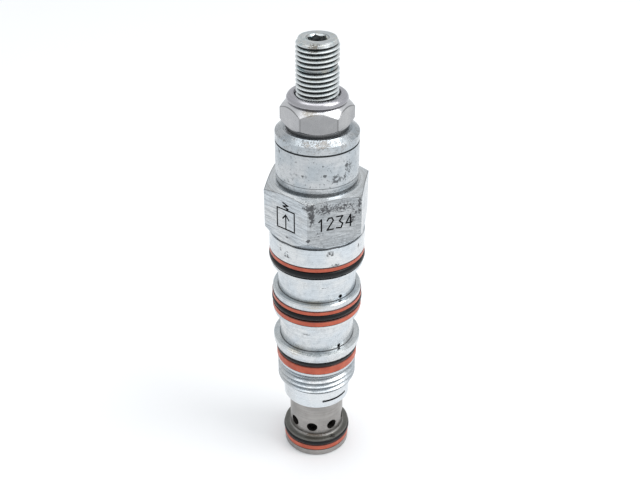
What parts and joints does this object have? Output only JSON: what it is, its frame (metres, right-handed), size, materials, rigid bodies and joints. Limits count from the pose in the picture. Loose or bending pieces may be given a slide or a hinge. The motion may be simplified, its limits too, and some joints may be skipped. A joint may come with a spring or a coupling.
{
  "type": "hydraulic cartridge valve",
  "caption": "Screw-in hydraulic cartridge valve: hexagon body, stacked seal lands, nose sleeve with cross holes, adjusting screw and locknut.",
  "frame": {"origin": "centre of the nose's end face, on the valve's axis", "axes": "+Z along the axis from the nose to the adjusting screw; -Y faces the viewer, with the hexagon's front corner 9 degrees towards -X"},
  "size_m": [0.024, 0.0254, 0.1123],
  "materials": {
    "plated_steel": "bright zinc plating with fine turning lines",
    "nut_steel": "satin nickel-like plating",
    "ground_steel": "bare ground steel",
    "black_rubber": "smooth moulded rubber",
    "orange_ring": "smooth hard elastomer",
    "spring_steel": "drawn wire",
    "seat_steel": "turned steel"
  },
  "bodies": {
    "root": {"valve_body": "plated_steel", "adapter_cap": "plated_steel", "adapter_o_ring": "black_rubber", "upper_o_ring": "black_rubber", "upper_backup_ring": "orange_ring", "middle_upper_backup_ring": "orange_ring", "middle_o_ring": "black_rubber", "middle_lower_backup_ring": "orange_ring", "lower_o_ring": "black_rubber", "lower_backup_ring": "orange_ring", "nose_sleeve": "ground_steel", "nose_o_ring": "black_rubber", "nose_backup_ring": "orange_ring", "retaining_wire": "spring_steel", "check_retainer_ring": "spring_steel", "main_spring": "spring_steel", "check_spring": "spring_steel"},
    "locknut": {"locknut": "nut_steel"},
    "upper_seat": {"upper_spring_seat": "seat_steel"},
    "screw": {"adjusting_screw": "plated_steel", "screw_o_ring": "black_rubber"},
    "poppet": {"relief_poppet": "ground_steel", "pilot_piston": "ground_steel", "lower_spring_seat": "seat_steel", "piston_o_ring": "black_rubber", "piston_backup_ring": "orange_ring", "stem_o_ring": "black_rubber", "stem_backup_ring": "orange_ring"},
    "check": {"check_seat": "ground_steel"}
  },
  "joints": [
    {"name": "locknut_turn", "type": "hinge", "parent": "root", "child": "locknut", "pos_m": [0, 0, 0.0952], "axis": [0, 0, 1], "range_deg": [0, 360]},
    {"name": "adjust_travel", "type": "slide", "parent": "root", "child": "upper_seat", "axis": [0, 0, 1], "range_m": [-0.0037, 0.00026], "deforming": ["main_spring"]},
    {"name": "adjust_turn", "type": "hinge", "parent": "upper_seat", "child": "screw", "pos_m": [0, 0, 0.1], "axis": [0, 0, 1], "range_deg": [-1260, 90]},
    {"name": "poppet_lift", "type": "slide", "parent": "root", "child": "poppet", "axis": [0, 0, 1], "range_m": [0, 0.0015], "stiffness_N_per_m": 500, "springref_m": -0.001, "deforming": ["main_spring"]},
    {"name": "check_open", "type": "slide", "parent": "root", "child": "check", "axis": [0, 0, -1], "range_m": [0, 0.0015], "stiffness_N_per_m": 100, "springref_m": -0.002, "deforming": ["check_spring"]}
  ],
  "couplings": [
    {"joint": "adjust_turn", "follows": "adjust_travel", "rad_per_m": 5936.9}
  ]
}
